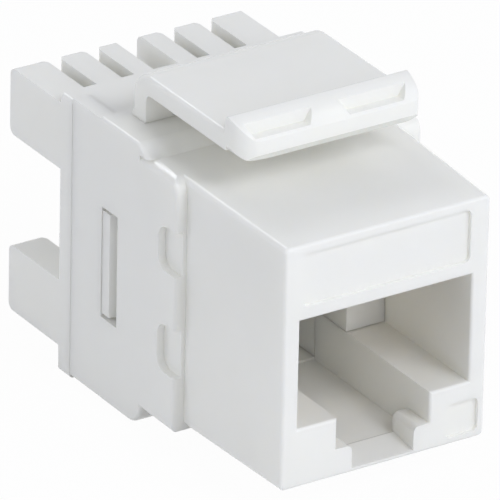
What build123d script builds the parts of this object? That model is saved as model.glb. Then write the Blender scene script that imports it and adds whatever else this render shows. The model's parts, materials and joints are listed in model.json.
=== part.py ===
from build123d import *
import math
import os

os.makedirs("parts", exist_ok=True)

# Millimetres. +X is to the right as the face is seen, +Y runs back through the jack and
# +Z is up. The origin is the centre of the face. Depths are measured back from the face
# and heights up from the underside of the nose at the face.

# Nose, the part that shows in a wall plate
face_width = 14.5
face_height = 16.1
nose_draft = 1.0
left_draft = 1.1
right_draft = 2.3
nose_round = 0.35
face_round = 0.2
nose_depth = 10.5
nose_wall = 1.15
header_depth = 1.3

# Port for an eight-way modular plug, with the slot for its latch tab below
port_width = 12.2
port_depth = 9.2
port_top = 11.1
port_round = 0.18
ledge_height = 3.9
tab_width = 6.6
entry_width = 4.4
step_height = 1.85
step_depth = 2.3
step_round = 0.4
lip_height = 0.28
ridge_height = 0.62
ridge_depth = 2.1
channel_floor = 0.55

# Bare plaques sunk in the face
plaque_sink = 0.25
plaque_round = 0.4
header_plaque_width = 11.8
header_plaque_low = 12.0
header_plaque_high = 15.5
corner_plaque_start = 4.5
corner_plaque_end = 6.8
corner_plaque_low = 0.45
corner_plaque_high = 2.7

# Sleeve behind the nose, wider to the right of the port than to the left
sleeve_left = 8.2
sleeve_right = 9.3
sleeve_end = 22.3
sleeve_wall = 1.2
sleeve_round = 0.25
sleeve_low = -0.5
tooth_round = 0.95
shoulder_width = 1.0
shoulder_drop = 0.5
shoulder_end = 14.7
deck_start = 13.7
deck_rise = 0.95
deck_round = 1.2
deck_lean = 0.9
deck_crest = 19.1
deck_drop = 0.12
belly_start = 14.3
belly_low = -1.9
belly_round = 1.3
seat_depth = 12.6
hollow_step = 15.9
front_hollow_low = 0.7

# Scallops in the front edge of each side, low and high
scallop_depth = 1.95
scallop_sink_left = 0.5
scallop_sink_right = 1.35
scallop_round = 0.9
scallops = [(3.1, 6.3), (9.9, 12.85)]

# Windows for the snap hooks
window_start = 17.05
window_end = 18.85
window_low = 3.7
window_high = 11.15

# Fixed catch under the nose
catch_width = 8.4
catch_start = 5.6
catch_crest = 7.1
catch_rear = 8.2

# Spring latch on the deck
latch_width = 12.7
latch_press = 9.0
root_front = 17.0
root_rear = 18.5
root_gap = 0.02
arm_lift = 1.95
arm_thickness = 1.2
arm_outer_round = 1.7
arm_inner_round = 0.5
arm_edge_round = 0.3
grip_front = 6.45
grip_rear = 8.3
grip_drop = 0.7
grip_chamfer = 0.7
grip_web_length = 1.0
brow_drop = 0.3
brow_bulge = (7.1, 0.63)
ridge_depth_back = 8.1
ridge_rise = 1.1
ridge_round = 0.2
grip_corner_left = 1.4
grip_corner_right = 0.3
grip_foot_left = (3.0, 1.1)
grip_foot_right = (0.6, 0.6)
grip_pocket_width = 4.7
grip_pocket_gap = 1.96
grip_pocket_draft = 0.42
grip_pocket_back = 7.22
grip_pocket_floor = 0.08

# Termination block at the back
block_seam = 0.04
flange_thickness = 1.45
flange_lip = 0.2
flange_step = 0.3
flange_round = 0.3
tail_relief = 0.6
finger_end = 29.5
finger_height = 4.45
lower_row_inset = 1.75
upper_row_inset = 0.65
finger_round = 0.5
slot_pitch = 2.715
slot_width = 0.9
slot_flare = 0.4
slot_flare_length = 0.7
middle_gap = 1.76
gusset_length = 2.0
gusset_drop = 0.55
hook_clearance = 0.25
hook_sink = 0.05
hook_land = 0.8
hook_ramp = 0.35
hook_tip_gap = 0.15
arm_wall = 0.7

# Clearances between seated pieces
fit = 0.05
wire_clearance = 0.06

# Contact springs
contact_count = 8
contact_pitch = 1.016
wire_diameter = 0.46
run_drops = (1.05, 2.05)
bend_radii = (1.3, 0.8)
wire_sides = 8
leg_slope = 26.0
leg_depth = 2.85
leg_lift = 0.28
leg_length = 8.2
comb_depth = 1.7
comb_rise = 2.5
comb_slot = 0.6
tail_length = 0.4

# Carrier that holds the contact springs
shelf_start = 3.5
shelf_rise = 1.5
carrier_end = 18.55
recess_depth = 6.5
undercut_height = 1.9
undercut_depth = 1.6

# Circuit board
board_thickness = 1.6
tail_hole = 0.36
pin_hole = 0.4
board_corner = 0.8
hole_sides = 16

# Insulation-displacement blades
blade_width = 2.2
blade_thickness = 0.4
blade_back = 22.65
blade_tip = 28.0
blade_slot = 0.35
blade_slot_start = 24.4
blade_mouth = 0.5
pin_width = 0.6

underside = -face_height / 2
deck_height = face_height + deck_rise
arm_underside = deck_height + arm_lift
arm_top = arm_underside + arm_thickness
grip_low = arm_underside - grip_drop
draft_rise = math.tan(math.radians(nose_draft))
nose_ceiling = face_height - nose_wall
inner_left = sleeve_left - sleeve_wall
inner_right = sleeve_right - sleeve_wall
hollow_high = deck_height - sleeve_wall - fit
hollow_low = belly_low + sleeve_wall + fit
body_left = inner_left - arm_wall - 3 * fit
body_right = inner_right - arm_wall - 3 * fit
board_start = carrier_end + fit
board_end = board_start + board_thickness
tail_end = board_end + tail_length
plug_start = board_end + fit
run_heights = [nose_ceiling - drop for drop in run_drops]
leg_start = (leg_depth, port_top + leg_lift)
comb_low = ledge_height + comb_rise
shelf_low = port_top + shelf_rise
root_depth = (root_front + root_rear) / 2
root_radius = (root_rear - root_front) / 2
arm_reach = window_start + hook_tip_gap
flange_low = belly_low - flange_lip
flange_high = deck_height - flange_step
lower_row = flange_low + lower_row_inset
upper_row = flange_high - upper_row_inset - finger_height
flange_start = sleeve_end + block_seam
flange_end = flange_start + flange_thickness
comb_half = sleeve_left
slot_length = finger_end - flange_end
groove_half = wire_diameter / 2 + wire_clearance
contact_numbers = range(1, contact_count + 1)
relief_half = contact_count * contact_pitch / 2
slot_places = [-2 * slot_pitch, -slot_pitch, slot_pitch, 2 * slot_pitch]
row_lows = [upper_row, lower_row]
blade_heights = [low + finger_height / 2 for low in row_lows]


def across(depth):
    """The plane across the jack at a depth: X to the right, height up."""
    return Plane(origin=(0, depth, underside), x_dir=(1, 0, 0), z_dir=(0, -1, 0))


def along(x):
    """The plane along the jack at a place across it: depth to the right, height up."""
    return Plane(origin=(x, 0, underside), x_dir=(0, 1, 0), z_dir=(1, 0, 0))


def level(height):
    """The horizontal plane at a height: X to the right, depth up."""
    return Plane.XY.offset(underside + height)


def pane(low, high, mode=Mode.ADD):
    """A rectangle of the open sketch, from its low corner to its high corner."""
    with Locations(((low[0] + high[0]) / 2, (low[1] + high[1]) / 2)):
        Rectangle(high[0] - low[0], high[1] - low[1], mode=mode)


def nearest(sketch, *points):
    """The corners of the open sketch that lie nearest to the points."""
    return [sketch.vertices().sort_by_distance(point)[0] for point in points]


def nose_top(depth):
    """The height of the drafted top of the nose at a depth."""
    return face_height + depth * draft_rise


def contact_lane(number):
    """Which of the two run heights a contact takes, alternating out from the port's centre."""
    return int(abs(number - (contact_count + 1) / 2) + 0.5) % 2


def contact_place(number):
    """How far contact number 1 to 8 lies to the right of the port's centre."""
    return (number - (contact_count + 1) / 2) * contact_pitch


def finish(piece, name):
    """Labels a piece and writes its file."""
    piece.part.label = name
    export_step(piece.part, f"parts/{name}.step")


# Housing: nose, sleeve and fixed catch in one moulding
with BuildPart() as housing:
    with BuildSketch(along(-sleeve_left)) as outline:
        with BuildLine():
            Polyline(
                (nose_depth, sleeve_low),
                (nose_depth, nose_top(nose_depth)),
                (deck_start, nose_top(deck_start)),
                (deck_start + deck_lean, deck_height),
                (sleeve_end, deck_height),
                (sleeve_end, belly_low),
                (belly_start, belly_low),
                (belly_start, sleeve_low),
                close=True,
            )
        make_face()
        fillet(nearest(outline, (deck_start + deck_lean, deck_height)), radius=deck_round)
        fillet(nearest(outline, (belly_start, belly_low)), radius=belly_round)
        fillet(nearest(outline, (nose_depth, nose_top(nose_depth))), radius=tooth_round)
    extrude(amount=sleeve_left + sleeve_right)
    rims = housing.faces().filter_by(Axis.X).edges()
    fillet(rims.filter_by_position(Axis.Y, 0, sleeve_end - sleeve_round), radius=sleeve_round)

    # Flattened rounding of the shoulders in front of the deck
    with BuildSketch(across(nose_depth)) as shoulders:
        shoulder_top = nose_top(shoulder_end)
        for side, reach in ((-1, sleeve_left), (1, sleeve_right)):
            middle = (side * (reach - shoulder_width / 2), shoulder_top - shoulder_drop / 2)
            with Locations(middle):
                Rectangle(shoulder_width, shoulder_drop)
            with Locations((side * (reach - shoulder_width), shoulder_top - shoulder_drop)):
                Ellipse(shoulder_width, shoulder_drop, mode=Mode.SUBTRACT)
    extrude(amount=nose_depth - shoulder_end, mode=Mode.SUBTRACT)

    # Drafted nose, from the face into the sleeve
    for depth in (0, deck_start):
        left = face_width / 2 + depth * math.tan(math.radians(left_draft))
        right = face_width / 2 + depth * math.tan(math.radians(right_draft))
        with BuildSketch(across(depth)):
            with Locations(((right - left) / 2, face_height / 2)):
                RectangleRounded(left + right, face_height + 2 * depth * draft_rise, nose_round)
    loft()
    face_edges = housing.faces().sort_by(Axis.Y)[0].edges()
    fillet(face_edges, radius=face_round)

    # Scallops in the front edge, shallower than the step down to the nose
    for low, high in scallops:
        for start, sink in ((-sleeve_left, scallop_sink_left), (sleeve_right, -scallop_sink_right)):
            with BuildSketch(along(start)) as scallop:
                pane((nose_depth - scallop_round, low), (nose_depth + scallop_depth, high))
                fillet(scallop.vertices().group_by(Axis.X)[-1], radius=scallop_round)
            extrude(amount=sink, mode=Mode.SUBTRACT)

    # The deck drops a little behind its crest, and opens there for the block's tongue
    with BuildSketch(level(deck_height)):
        pane((-sleeve_left, deck_crest), (sleeve_right, sleeve_end))
    extrude(amount=-deck_drop, mode=Mode.SUBTRACT)
    with BuildSketch(level(deck_height)):
        pane((-inner_left, deck_crest), (inner_right, sleeve_end))
    extrude(amount=-2 * sleeve_wall, mode=Mode.SUBTRACT)

    # Fixed catch
    with BuildSketch(along(-catch_width / 2)):
        Polygon(
            (catch_start, 0),
            (catch_crest, flange_low),
            (catch_rear, flange_low),
            (catch_rear, 0),
            align=None,
        )
    extrude(amount=catch_width)

    # Port: the outline through the header, then the space behind it
    with BuildSketch(across(0)):
        pane((-port_width / 2, ledge_height), (port_width / 2, port_top))
        pane((-tab_width / 2, step_height), (tab_width / 2, ledge_height))
    extrude(amount=-header_depth, mode=Mode.SUBTRACT)
    with BuildSketch(across(header_depth)):
        pane((-port_width / 2, ledge_height), (port_width / 2, nose_ceiling))
        pane((-tab_width / 2, step_height), (tab_width / 2, ledge_height))
    extrude(amount=header_depth - seat_depth, mode=Mode.SUBTRACT)

    # Latch tab channel: a narrow entry between two steps, over a low ridge
    with BuildSketch(along(-entry_width / 2)):
        Polygon(
            (0, lip_height),
            (ridge_depth, ridge_height),
            (step_depth, channel_floor),
            (step_depth, step_height),
            (0, step_height),
            align=None,
        )
    extrude(amount=entry_width, mode=Mode.SUBTRACT)
    with BuildSketch(across(step_depth)):
        pane((-tab_width / 2, channel_floor), (tab_width / 2, step_height))
    extrude(amount=step_depth - seat_depth, mode=Mode.SUBTRACT)

    # Hollow of the sleeve, deeper behind the deck's and belly's steps
    with BuildSketch(across(seat_depth)):
        pane((-inner_left, front_hollow_low), (inner_right, nose_ceiling))
    extrude(amount=seat_depth - sleeve_end, mode=Mode.SUBTRACT)
    with BuildSketch(across(hollow_step)):
        pane((-inner_left, hollow_low), (inner_right, hollow_high))
    extrude(amount=hollow_step - sleeve_end, mode=Mode.SUBTRACT)

    # Windows for the snap hooks, through both sides
    with BuildSketch(along(-sleeve_left)):
        pane((window_start, window_low), (window_end, window_high))
    extrude(amount=sleeve_left + sleeve_right, mode=Mode.SUBTRACT)

    # Round-bottomed seat of the latch's root
    with BuildSketch(along(-latch_width / 2 - root_gap)):
        with Locations((root_depth, deck_height)):
            Circle(root_radius + root_gap)
    extrude(amount=latch_width + 2 * root_gap, mode=Mode.SUBTRACT)

    # Rounded mouth of the port and of the steps
    steps = housing.edges().filter_by(Axis.Y).filter_by_position(
        Axis.Z, underside + step_height - fit, underside + step_height + fit
    )
    fillet(steps.filter_by(lambda edge: abs(abs(edge.center().X) - entry_width / 2) < fit), radius=step_round)
    mouth = housing.faces().sort_by(Axis.Y)[0].inner_wires()[0].edges()
    fillet(mouth.filter_by(lambda edge: edge.center().Z > underside + step_height), radius=port_round)

    # Bare plaques
    with BuildSketch(across(0)) as plaques:
        pane((-header_plaque_width / 2, header_plaque_low), (header_plaque_width / 2, header_plaque_high))
        pane((corner_plaque_start, corner_plaque_low), (corner_plaque_end, corner_plaque_high))
        fillet(plaques.vertices(), radius=plaque_round)
    extrude(amount=-plaque_sink, mode=Mode.SUBTRACT)
finish(housing, "housing")

# Arm and root of the spring latch, which swings about the foot of its root
with BuildPart() as latch_arm:
    with BuildSketch(along(-latch_width / 2)) as strip:
        pane((ridge_depth_back, arm_underside), (root_rear, arm_top))
        pane((root_front, deck_height), (root_rear, arm_top))
        fillet(nearest(strip, (root_rear, arm_top)), radius=arm_outer_round)
        fillet(nearest(strip, (root_front, arm_underside)), radius=arm_inner_round)
    extrude(amount=latch_width)
    rims = latch_arm.faces().filter_by(Axis.X).edges().filter_by(Axis.Y)
    fillet(rims.group_by(Axis.Z)[-1], radius=arm_edge_round)
    with BuildSketch(along(-latch_width / 2)):
        with Locations((root_depth, deck_height)):
            Circle(root_radius)
    extrude(amount=latch_width)

# Spring latch: the arm with its grip, a rounded brow over a flat front
with BuildPart() as latch:
    with BuildSketch(along(-latch_width / 2)) as grip:
        with BuildLine():
            ridge = (ridge_depth_back, arm_top + ridge_rise)
            bulge = (brow_bulge[0], arm_top + brow_bulge[1])
            brow = ThreePointArc(ridge, bulge, (grip_front, arm_top - brow_drop))
            Polyline(
                brow @ 1,
                (grip_front, grip_low + grip_chamfer),
                (grip_front + grip_chamfer, grip_low),
                (grip_rear - grip_chamfer, grip_low),
                (grip_rear + grip_web_length, arm_underside),
                (grip_rear, arm_underside),
                (grip_rear, arm_top),
                ridge,
            )
        make_face()
        fillet(nearest(grip, ridge), radius=ridge_round)
        fillet(nearest(grip, (grip_rear - grip_chamfer, grip_low)), radius=grip_chamfer)
    extrude(amount=latch_width)
    corners = latch.edges().filter_by(Axis.Z).group_by(Axis.Y)[0]
    fillet(corners.sort_by(Axis.X)[0], radius=grip_corner_left)
    corners = latch.edges().filter_by(Axis.Z).group_by(Axis.Y)[0]
    fillet(corners.sort_by(Axis.X)[-1], radius=grip_corner_right)

    # The foot of the grip is well rounded to the left and less to the right
    with BuildSketch(across(0)):
        for side, (reach, rise) in ((-1, grip_foot_left), (1, grip_foot_right)):
            with Locations((side * (latch_width - reach) / 2, grip_low + rise / 2)):
                Rectangle(reach, rise)
            with Locations((side * (latch_width / 2 - reach), grip_low + rise)):
                Ellipse(reach, rise, mode=Mode.SUBTRACT)
    extrude(amount=-root_front, mode=Mode.SUBTRACT)

    # Two finger pockets sunk in the brow
    with BuildSketch(across(0)):
        floor = arm_top - grip_pocket_floor
        half_low = grip_pocket_width / 2 - grip_pocket_draft
        draft_slope = grip_pocket_draft / (brow_bulge[1] + grip_pocket_floor)
        half_high = half_low + draft_slope * 2 * ridge_rise
        for side in (-1, 1):
            with Locations((side * (grip_pocket_width + grip_pocket_gap) / 2, floor)):
                Polygon(
                    (-half_low, 0),
                    (half_low, 0),
                    (half_high, 2 * ridge_rise),
                    (-half_high, 2 * ridge_rise),
                    align=None,
                )
    extrude(amount=-grip_pocket_back, mode=Mode.SUBTRACT)

    add(latch_arm.part)
finish(latch, "latch")

# Termination block: flange, snap arms and two rows of fingers in one moulding
with BuildPart() as idc_block:
    with BuildSketch(across(flange_start)):
        pane((-sleeve_left, flange_low), (sleeve_right, flange_high))
    extrude(amount=-flange_thickness)
    fillet(idc_block.edges().filter_by(Axis.Y), radius=flange_round)
    chamfer(idc_block.faces().sort_by(Axis.Y)[-1].edges(), length=flange_round / 2)

    # Plug in the sleeve's hollow, and the tongue that closes the top of the sleeve
    with BuildSketch(across(plug_start)):
        pane((fit - inner_left, hollow_low + fit), (inner_right - fit, hollow_high - fit))
    extrude(amount=plug_start - flange_start)
    with BuildSketch(level(deck_height - deck_drop)):
        pane((-inner_left, deck_crest + fit), (inner_right, flange_start))
    extrude(amount=hollow_high - fit - deck_height + deck_drop)

    # Relief for the tails that stand out behind the circuit board
    with BuildSketch(across(plug_start)):
        pane((-relief_half, min(run_heights) - tail_relief), (relief_half, max(run_heights) + tail_relief))
    extrude(amount=-tail_relief, mode=Mode.SUBTRACT)

    # Snap arms, each with a hook that ramps in towards its tip
    for side, inner in ((-1, inner_left), (1, inner_right)):
        with BuildSketch(level(window_low + hook_clearance)):
            with BuildLine():
                Polyline(
                    (side * (inner - fit), plug_start),
                    (side * (inner - fit), window_end - fit),
                    (side * (inner + sleeve_wall - hook_sink), window_end - fit),
                    (side * (inner + sleeve_wall - hook_sink), window_end - fit - hook_land),
                    (side * (inner - fit), window_end - fit - hook_land - hook_ramp),
                    (side * (inner - fit), arm_reach),
                    (side * (inner - arm_wall), arm_reach),
                    (side * (inner - arm_wall), plug_start),
                    close=True,
                )
            make_face()
        extrude(amount=window_high - window_low - 2 * hook_clearance)

    # Fingers: a round-ended bar for each row, parted by flared wire slots
    for low in row_lows:
        with BuildSketch(along(-comb_half)) as bar:
            pane((flange_start + flange_round, low), (finger_end, low + finger_height))
            fillet(bar.vertices().group_by(Axis.X)[-1], radius=finger_round)
        extrude(amount=2 * comb_half)
        with BuildSketch(level(low)) as slots:
            pane((-middle_gap / 2, flange_end), (middle_gap / 2, finger_end))
            with Locations([(place, flange_end) for place in slot_places]):
                Polygon(
                    (-slot_width / 2, 0),
                    (slot_width / 2, 0),
                    (slot_width / 2, slot_length - slot_flare_length),
                    (slot_width / 2 + slot_flare, slot_length),
                    (-slot_width / 2 - slot_flare, slot_length),
                    (-slot_width / 2, slot_length - slot_flare_length),
                    align=None,
                )
        extrude(amount=finger_height, mode=Mode.SUBTRACT)

        # Gusset across the foot of the middle gap
        with BuildSketch(along(-middle_gap / 2)):
            Polygon(
                (flange_end, low),
                (flange_end + gusset_length, low),
                (flange_end + gusset_length, low + finger_height - gusset_drop),
                (flange_end, low + finger_height),
                align=None,
            )
        extrude(amount=middle_gap)

    # Slits for the blades across each slot, and for their pins through the flange
    for height in blade_heights:
        with BuildSketch(level(height - blade_thickness / 2 - fit)):
            with Locations([(place, 0) for place in slot_places]):
                pane((-blade_width / 2 - fit, blade_back - fit), (blade_width / 2 + fit, blade_tip + fit))
                pane((-pin_width / 2 - fit, plug_start), (pin_width / 2 + fit, blade_back))
        extrude(amount=blade_thickness + 2 * fit, mode=Mode.SUBTRACT)
finish(idc_block, "idc_block")

# Carrier: shelf over the port, guide comb at its back and the body behind
with BuildPart() as contact_carrier:
    with BuildSketch(across(port_depth)):
        pane((fit - port_width / 2, ledge_height + fit), (port_width / 2 - fit, nose_ceiling - fit))
    extrude(amount=port_depth - seat_depth - fit)
    with BuildSketch(across(seat_depth + fit)):
        pane((-body_left, front_hollow_low + fit), (body_right, nose_ceiling - fit))
    extrude(amount=seat_depth + fit - carrier_end)
    with BuildSketch(across(shelf_start)):
        pane((fit - port_width / 2, shelf_low), (port_width / 2 - fit, nose_ceiling - fit))
    extrude(amount=shelf_start - port_depth)

    # Recess that carries on the tab channel, undercut at its foot
    with BuildSketch(across(port_depth)):
        pane((-tab_width / 2, 0), (tab_width / 2, comb_low))
    extrude(amount=-recess_depth, mode=Mode.SUBTRACT)
    with BuildSketch(across(port_depth + recess_depth)):
        pane((-tab_width / 2, 0), (tab_width / 2, undercut_height))
    extrude(amount=-undercut_depth, mode=Mode.SUBTRACT)

    # Guide slots for the free ends, and grooves for the runs
    with BuildSketch(across(port_depth)):
        for number in contact_numbers:
            x = contact_place(number)
            pane((x - comb_slot / 2, comb_low), (x + comb_slot / 2, shelf_low))
    extrude(amount=-comb_depth, mode=Mode.SUBTRACT)
    with BuildSketch(across(shelf_start)):
        for number in contact_numbers:
            x = contact_place(number)
            groove_top = run_heights[contact_lane(number)] + groove_half
            pane((x - groove_half, shelf_low), (x + groove_half, groove_top))
    extrude(amount=shelf_start - carrier_end, mode=Mode.SUBTRACT)
finish(contact_carrier, "contact_carrier")

# Circuit board across the sleeve, behind the carrier
with BuildPart() as circuit_board:
    with BuildSketch(across(board_start)) as board_outline:
        pane((-body_left, hollow_low + fit), (body_right, nose_ceiling - fit))
        chamfer(board_outline.vertices(), length=board_corner)
        for number in contact_numbers:
            with Locations((contact_place(number), run_heights[contact_lane(number)])):
                RegularPolygon(tail_hole, hole_sides, mode=Mode.SUBTRACT)
        for height in blade_heights:
            with Locations([(place, height) for place in slot_places]):
                RegularPolygon(pin_hole, hole_sides, mode=Mode.SUBTRACT)
    extrude(amount=-board_thickness)
finish(circuit_board, "circuit_board")

# Contact springs: a run from the board, a bend behind the header and a sloping leg
leg_angle = math.radians(leg_slope)
for number in contact_numbers:
    run_height = run_heights[contact_lane(number)]
    bend = bend_radii[contact_lane(number)]
    bend_height = run_height - bend
    leg_top = bend_height - bend * math.cos(leg_angle)
    leg_back = leg_start[0] + (leg_start[1] - leg_top) / math.tan(leg_angle)
    bend_depth = leg_back + bend * math.sin(leg_angle)
    tip_depth = leg_start[0] + leg_length * math.cos(leg_angle)
    tip_height = leg_start[1] - leg_length * math.sin(leg_angle)
    with BuildPart() as contact:
        with BuildLine(along(contact_place(number))) as wire_line:
            Line((tail_end, run_height), (bend_depth, run_height))
            CenterArc((bend_depth, bend_height), bend, 90, 180 - leg_slope)
            Line((leg_back, leg_top), (tip_depth, tip_height))
        with BuildSketch(across(tail_end)):
            with Locations((contact_place(number), run_height)):
                RegularPolygon(wire_diameter / 2, wire_sides, rotation=180 / wire_sides)
        sweep(path=wire_line.wires()[0])
    finish(contact, f"contact_{number}")

# Blades: forked plates across the wire slots, with a pin through the flange to the board
blade_number = 0
for height in blade_heights:
    for place in slot_places:
        blade_number += 1
        with BuildPart() as blade:
            with BuildSketch(level(height - blade_thickness / 2)) as fork:
                with Locations((place, 0)):
                    pane((-blade_width / 2, blade_back), (blade_width / 2, blade_tip))
                    pane((-pin_width / 2, board_start), (pin_width / 2, blade_back))
                    Polygon(
                        (-blade_slot / 2, blade_slot_start),
                        (blade_slot / 2, blade_slot_start),
                        (blade_slot / 2, blade_tip - blade_mouth),
                        (blade_slot / 2 + blade_mouth, blade_tip),
                        (-blade_slot / 2 - blade_mouth, blade_tip),
                        (-blade_slot / 2, blade_tip - blade_mouth),
                        align=None,
                        mode=Mode.SUBTRACT,
                    )
            extrude(amount=blade_thickness)
        finish(blade, f"idc_blade_{blade_number}")
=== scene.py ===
# %% [markdown]
# # A white keystone jack
#
# This notebook dresses a snap-in network socket: a white moulded nose with a plug port,
# a spring latch on its deck, and rows of slotted fingers behind for the cable's wires.
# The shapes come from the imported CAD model, which is loaded first and never moved.
# Everything here is in metres. X runs to the right of the port, Y back through the jack
# and Z up towards the latch.

import json
import math

import bpy
from mathutils import Matrix, Vector


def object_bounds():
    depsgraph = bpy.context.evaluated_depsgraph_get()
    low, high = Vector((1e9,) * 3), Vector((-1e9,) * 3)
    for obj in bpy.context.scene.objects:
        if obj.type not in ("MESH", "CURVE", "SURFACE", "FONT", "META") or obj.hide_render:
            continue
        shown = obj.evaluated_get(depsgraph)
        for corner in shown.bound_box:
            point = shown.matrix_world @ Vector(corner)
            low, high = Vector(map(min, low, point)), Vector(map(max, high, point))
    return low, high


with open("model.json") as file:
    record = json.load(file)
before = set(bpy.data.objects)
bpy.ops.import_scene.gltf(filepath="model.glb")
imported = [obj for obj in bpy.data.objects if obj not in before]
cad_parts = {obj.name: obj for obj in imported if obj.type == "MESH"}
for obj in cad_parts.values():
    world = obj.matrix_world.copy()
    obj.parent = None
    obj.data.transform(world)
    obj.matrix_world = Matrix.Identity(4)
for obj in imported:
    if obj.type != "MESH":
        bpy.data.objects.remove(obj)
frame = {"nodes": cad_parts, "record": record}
bpy.ops.object.select_all(action="DESELECT")
scene = bpy.context.scene
nodes = frame["nodes"]
cad_low, cad_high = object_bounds()
print("Pieces of the jack:", len(nodes))
print("Model size in mm:", [round(1000 * side, 2) for side in cad_high - cad_low])

# %% [markdown]
# ## Camera
#
# The photograph was taken from in front of the port's left side and from above, with a
# long lens, so the edges of the jack stay almost parallel. A camera that far away sees
# little perspective. Its three directions are worked out from two angles and a small
# roll, and then written straight into the camera's matrix, which avoids any aiming
# constraint.

# %% Camera
azimuth, elevation, roll = (math.radians(angle) for angle in (-33.11, 26.64, 1.20))
distance = 0.595
across_view, up_view = 0.007913, -0.012766
face_middle_height = 0.00805
sensor_mm, lens_mm = 36, 716.4

backward = Vector((
    math.sin(azimuth) * math.cos(elevation),
    -math.cos(azimuth) * math.cos(elevation),
    math.sin(elevation),
))
level_right = Vector((math.cos(azimuth), math.sin(azimuth), 0))
level_up = backward.cross(level_right)
right = math.cos(roll) * level_right + math.sin(roll) * level_up
upward = math.cos(roll) * level_up - math.sin(roll) * level_right
eye = distance * backward - across_view * right - up_view * upward
eye.z -= face_middle_height

camera = bpy.data.objects.new("photo_camera", bpy.data.cameras.new("photo_camera"))
scene.collection.objects.link(camera)
camera.data.sensor_width = sensor_mm
camera.data.lens = lens_mm
camera.matrix_world = Matrix((
    (right.x, upward.x, backward.x, eye.x),
    (right.y, upward.y, backward.y, eye.y),
    (right.z, upward.z, backward.z, eye.z),
    (0, 0, 0, 1),
))
scene.camera = camera
print("Camera stands at", [round(part, 3) for part in eye])

# %% [markdown]
# ## Building a finish from nodes
#
# Every finish here is procedural: noise is read at each point of the piece in its own
# Object coordinates, so it keeps its real scale and stays in place on every copy. Five
# small helpers keep the node code short. One starts a material and one adds noise of a
# given grain in millimetres. The others turn that noise into a range of values, into a
# blend of two colours, or into a relief so slight that it shows only in the highlights.


# %% Node helpers
def start_finish(name, metallic=0.0):
    """A new material, its node tree, its main shader and its Object coordinates."""
    material = bpy.data.materials.new(name)
    material.use_nodes = True
    tree = material.node_tree
    shader = tree.nodes["Principled BSDF"]
    shader.inputs["Metallic"].default_value = metallic
    place = tree.nodes.new("ShaderNodeTexCoord")
    return material, tree, shader, place.outputs["Object"]


def add_noise(tree, place, grain_mm, detail=2.0, stretch=(1, 1, 1)):
    """Noise whose grains are about so many millimetres across."""
    mapping = tree.nodes.new("ShaderNodeMapping")
    mapping.inputs["Scale"].default_value = stretch
    tree.links.new(place, mapping.inputs["Vector"])
    noise = tree.nodes.new("ShaderNodeTexNoise")
    noise.inputs["Scale"].default_value = 1000 / grain_mm
    noise.inputs["Detail"].default_value = detail
    tree.links.new(mapping.outputs["Vector"], noise.inputs["Vector"])
    return noise.outputs["Fac"]


def add_range(tree, value, low, high):
    """Spreads a noise, which stays near its middle, between two values."""
    spread = tree.nodes.new("ShaderNodeMapRange")
    spread.inputs["From Min"].default_value = 0.3
    spread.inputs["From Max"].default_value = 0.7
    spread.inputs["To Min"].default_value = low
    spread.inputs["To Max"].default_value = high
    tree.links.new(value, spread.inputs["Value"])
    return spread.outputs["Result"]


def add_colours(tree, value, dark, light):
    """Blends two colours by a noise."""
    ramp = tree.nodes.new("ShaderNodeValToRGB")
    ramp.color_ramp.elements[0].position = 0.35
    ramp.color_ramp.elements[0].color = (*dark, 1)
    ramp.color_ramp.elements[1].position = 0.65
    ramp.color_ramp.elements[1].color = (*light, 1)
    tree.links.new(value, ramp.inputs["Fac"])
    return ramp.outputs["Color"]


def add_relief(tree, shader, height, depth_mm):
    """A relief of so many millimetres in the way the surface catches light."""
    bump = tree.nodes.new("ShaderNodeBump")
    bump.inputs["Strength"].default_value = 1.0
    bump.inputs["Distance"].default_value = depth_mm / 1000
    tree.links.new(height, bump.inputs["Height"])
    tree.links.new(bump.outputs["Normal"], shader.inputs["Normal"])


# %% [markdown]
# ## White moulded plastic
#
# The housing, the latch, the wire block and the contact carrier are glossy white
# plastic. Fresh from a polished mould it is almost flat, but not quite: the skin
# ripples by a few micrometres where the plastic shrank, there is a finer grain from the
# mould's own polish, and handling leaves some spots duller than others. The ripple and
# the grain go into the relief, and a third noise varies the gloss. A little light
# passes under the skin, which keeps thin walls and edges from looking like chalk.

# %% White plastic
white_plastic, tree, shader, place = start_finish("white_plastic")
skin = add_noise(tree, place, 6.0)
white = add_colours(tree, skin, (0.93, 0.922, 0.872), (0.945, 0.937, 0.887))
tree.links.new(white, shader.inputs["Base Color"])
handling = add_noise(tree, place, 2.5, 4.0)
gloss = add_range(tree, handling, 0.2, 0.265)
tree.links.new(gloss, shader.inputs["Roughness"])

ripple = add_noise(tree, place, 3.5, 1.0)
grain = add_noise(tree, place, 0.25, 3.0)
grain_share = 0.06
both = tree.nodes.new("ShaderNodeMath")
both.operation = "MULTIPLY_ADD"
both.inputs[1].default_value = grain_share
tree.links.new(grain, both.inputs[0])
tree.links.new(ripple, both.inputs[2])
add_relief(tree, shader, both.outputs["Value"], 0.008)
shader.inputs["IOR"].default_value = 1.5
shader.inputs["Subsurface Weight"].default_value = 0.4
shader.inputs["Subsurface Radius"].default_value = (1.0, 0.95, 0.85)
shader.inputs["Subsurface Scale"].default_value = 0.0015
print("White plastic has", len(tree.nodes), "nodes")

# %% [markdown]
# ## Gold on the contact springs
#
# Each contact is a phosphor bronze wire with a thin gold plating. Drawn wire carries
# faint lines along its length, so the noise for the tint and the relief is stretched
# along Y, the way the wire runs. A coarser noise varies the gloss.

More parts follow.
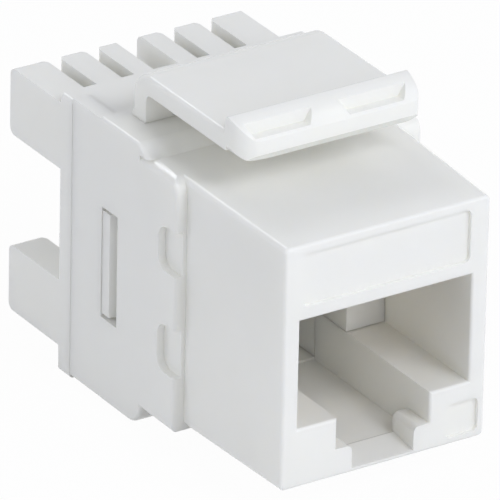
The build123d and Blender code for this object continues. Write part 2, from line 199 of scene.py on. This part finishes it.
# %% Gold-plated wire
gold_wire, tree, shader, place = start_finish("gold_wire", metallic=1.0)
drawn = add_noise(tree, place, 0.12, 3.0, stretch=(1, 0.06, 1))
gold = add_colours(tree, drawn, (0.72, 0.47, 0.17), (0.86, 0.62, 0.27))
tree.links.new(gold, shader.inputs["Base Color"])
gloss = add_range(tree, add_noise(tree, place, 0.8, 3.0), 0.18, 0.32)
tree.links.new(gloss, shader.inputs["Roughness"])
add_relief(tree, shader, drawn, 0.003)
print("Gold wire has", len(tree.nodes), "nodes")

# %% [markdown]
# ## Tin on the wire blades
#
# The blades in the fingers are stamped sheet with a matt tin finish. Tin crystals give
# a cloudy surface and rolling leaves lines along the blade.

# %% Tinned sheet
tinned_blade, tree, shader, place = start_finish("tinned_blade", metallic=1.0)
cloud = add_noise(tree, place, 0.6, 4.0)
rolled = add_noise(tree, place, 0.1, 2.0, stretch=(1, 0.08, 1))
tin = add_colours(tree, cloud, (0.55, 0.55, 0.54), (0.68, 0.68, 0.67))
tree.links.new(tin, shader.inputs["Base Color"])
tree.links.new(add_range(tree, cloud, 0.34, 0.5), shader.inputs["Roughness"])
add_relief(tree, shader, rolled, 0.003)
print("Tinned sheet has", len(tree.nodes), "nodes")

# %% [markdown]
# ## Coated circuit board
#
# The board that joins the contacts to the blades is glass fibre under a green coating.
# A fine weave shows through the coating, and copper under it lifts the colour in
# places. Two wave textures at right angles make the weave.

# %% Circuit board
green_board, tree, shader, place = start_finish("green_board")
copper = add_noise(tree, place, 1.6, 1.0)
green = add_colours(tree, copper, (0.012, 0.09, 0.035), (0.03, 0.17, 0.06))
tree.links.new(green, shader.inputs["Base Color"])
gloss = add_range(tree, add_noise(tree, place, 0.7), 0.3, 0.45)
tree.links.new(gloss, shader.inputs["Roughness"])
thread_scale = 700
threads = []
for direction in ("X", "Z"):
    thread = tree.nodes.new("ShaderNodeTexWave")
    thread.bands_direction = direction
    thread.inputs["Scale"].default_value = thread_scale
    tree.links.new(place, thread.inputs["Vector"])
    threads.append(thread.outputs["Fac"])
weave = tree.nodes.new("ShaderNodeMath")
weave.operation = "ADD"
tree.links.new(threads[0], weave.inputs[0])
tree.links.new(threads[1], weave.inputs[1])
add_relief(tree, shader, weave.outputs["Value"], 0.006)
shader.inputs["Coat Weight"].default_value = 0.3
print("Circuit board has", len(tree.nodes), "nodes")

# %% [markdown]
# ## Giving each piece its finish
#
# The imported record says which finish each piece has, so the list is read from there
# and no name is typed twice. A piece keeps its shape, and only the material in its slot
# changes.

# %% Finishes onto pieces
finishes = {
    "white_plastic": white_plastic,
    "gold_wire": gold_wire,
    "tinned_blade": tinned_blade,
    "green_board": green_board,
}
for piece in frame["record"]["subparts"]:
    node = nodes[piece["node"]]
    finish = finishes[piece["material_slot"]]
    if node.material_slots:
        for material_slot in node.material_slots:
            material_slot.material = finish
    else:
        node.data.materials.append(finish)

# %% [markdown]
# ## Floor and background
#
# The photograph has a plain white ground. The floor is a large pale sheet at the level
# of the jack's lowest point. Seen directly it also gives off its own white, so it reads
# as white without more light on the jack, and a small share of its lit surface is left
# to carry the jack's soft shadow. Mirror-like and see-through rays are given the same
# white as the camera. The other rays meet a dimmer room of a slightly cool white.


# %% Floor
def seen_directly(tree):
    """1 for camera, glossy and transmission rays, and 0 for the rest."""
    path = tree.nodes.new("ShaderNodeLightPath")
    total = path.outputs["Is Camera Ray"]
    for name in ("Is Glossy Ray", "Is Transmission Ray"):
        more = tree.nodes.new("ShaderNodeMath")
        more.operation = "ADD"
        more.use_clamp = True
        tree.links.new(total, more.inputs[0])
        tree.links.new(path.outputs[name], more.inputs[1])
        total = more.outputs["Value"]
    return total


floor_width = 6
own_white_share = 0.97

bpy.ops.mesh.primitive_plane_add(size=floor_width, location=(0, 0, cad_low.z))
floor = bpy.context.object
floor.name = "pale_floor"

floor_finish = bpy.data.materials.new("pale_floor")
floor_finish.use_nodes = True
tree = floor_finish.node_tree
paper = tree.nodes["Principled BSDF"]
paper.inputs["Base Color"].default_value = (0.8, 0.8, 0.8, 1)
paper.inputs["Roughness"].default_value = 0.9
paper.inputs["Specular IOR Level"].default_value = 0.0
own_white = tree.nodes.new("ShaderNodeEmission")
own_white.inputs["Color"].default_value = (1, 1, 1, 1)
share = tree.nodes.new("ShaderNodeMath")
share.operation = "MULTIPLY"
share.inputs[1].default_value = own_white_share
tree.links.new(seen_directly(tree), share.inputs[0])
blend = tree.nodes.new("ShaderNodeMixShader")
tree.links.new(share.outputs["Value"], blend.inputs["Fac"])
tree.links.new(paper.outputs["BSDF"], blend.inputs[1])
tree.links.new(own_white.outputs["Emission"], blend.inputs[2])
tree.links.new(blend.outputs["Shader"], tree.nodes["Material Output"].inputs["Surface"])
floor.data.materials.append(floor_finish)
floor.select_set(False)
print("Floor lies at", round(1000 * cad_low.z, 2), "mm")

# %% World
cool_white = (0.925, 0.945, 1)
room_strength = 0.33

world = bpy.data.worlds.new("white_room")
world.use_nodes = True
scene.world = world
tree = world.node_tree
room = tree.nodes["Background"]
room.inputs["Color"].default_value = (*cool_white, 1)
room.inputs["Strength"].default_value = room_strength
backdrop = tree.nodes.new("ShaderNodeBackground")
backdrop.inputs["Color"].default_value = (1, 1, 1, 1)
backdrop.inputs["Strength"].default_value = 1.0
blend = tree.nodes.new("ShaderNodeMixShader")
tree.links.new(seen_directly(tree), blend.inputs["Fac"])
tree.links.new(room.outputs["Background"], blend.inputs[1])
tree.links.new(backdrop.outputs["Background"], blend.inputs[2])
tree.links.new(blend.outputs["Shader"], tree.nodes["World Output"].inputs["Surface"])
print("The room lights the jack at", room_strength)

# %% [markdown]
# ## Lamps
#
# The lamps are soft, as in a product studio. A lamp that is wide against its distance
# has no hard edge to its shadow. The front of the jack is its brightest side in the
# photograph, and the teeth beside the nose lie in its shade, so the two main lamps
# stand just to the right of the front, one low and one high. A weaker one by the camera
# looks into the port, and two wide ones fill the left and the right side. The last lamp
# is small and stands high behind. The rounded edges of the nose, the sleeve and the
# latch mirror it towards the camera as thin bright lines, which is what makes the
# plastic look glossy.

# %% Lamps
lamp_distance = 0.6


def add_lamp(name, towards, width, strength):
    """A square soft lamp that stands off from the jack's middle and faces it."""
    lamp = bpy.data.objects.new(name, bpy.data.lights.new(name, "AREA"))
    scene.collection.objects.link(lamp)
    middle = (cad_low + cad_high) / 2
    direction = Vector(towards).normalized()
    lamp.location = middle + direction * lamp_distance
    lamp.rotation_mode = "QUATERNION"
    lamp.rotation_quaternion = direction.to_track_quat("Z", "Y")
    lamp.data.size = width
    lamp.data.energy = strength
    lamp.data.color = cool_white
    print(name, "is", width, "m wide and gives", strength, "W")


add_lamp("port_lamp", (-0.45, -0.8, 0.45), 0.45, 0.38)
add_lamp("front_lamp", (0.22, -1.0, 0.28), 0.25, 0.5)
add_lamp("high_lamp", (0.3, -1.0, 1.0), 0.25, 1.2)
add_lamp("right_lamp", (1.0, -0.4, 0.3), 0.7, 0.9)
add_lamp("left_lamp", (-1.0, 0.45, 0.4), 0.45, 0.92)
add_lamp("rim_lamp", (0.03, 0.75, 0.66), 0.14, 0.35)

# %% [markdown]
# ## View settings
#
# The Standard view shows colours as they are written.

# %% View settings
scene.view_settings.view_transform = "Standard"
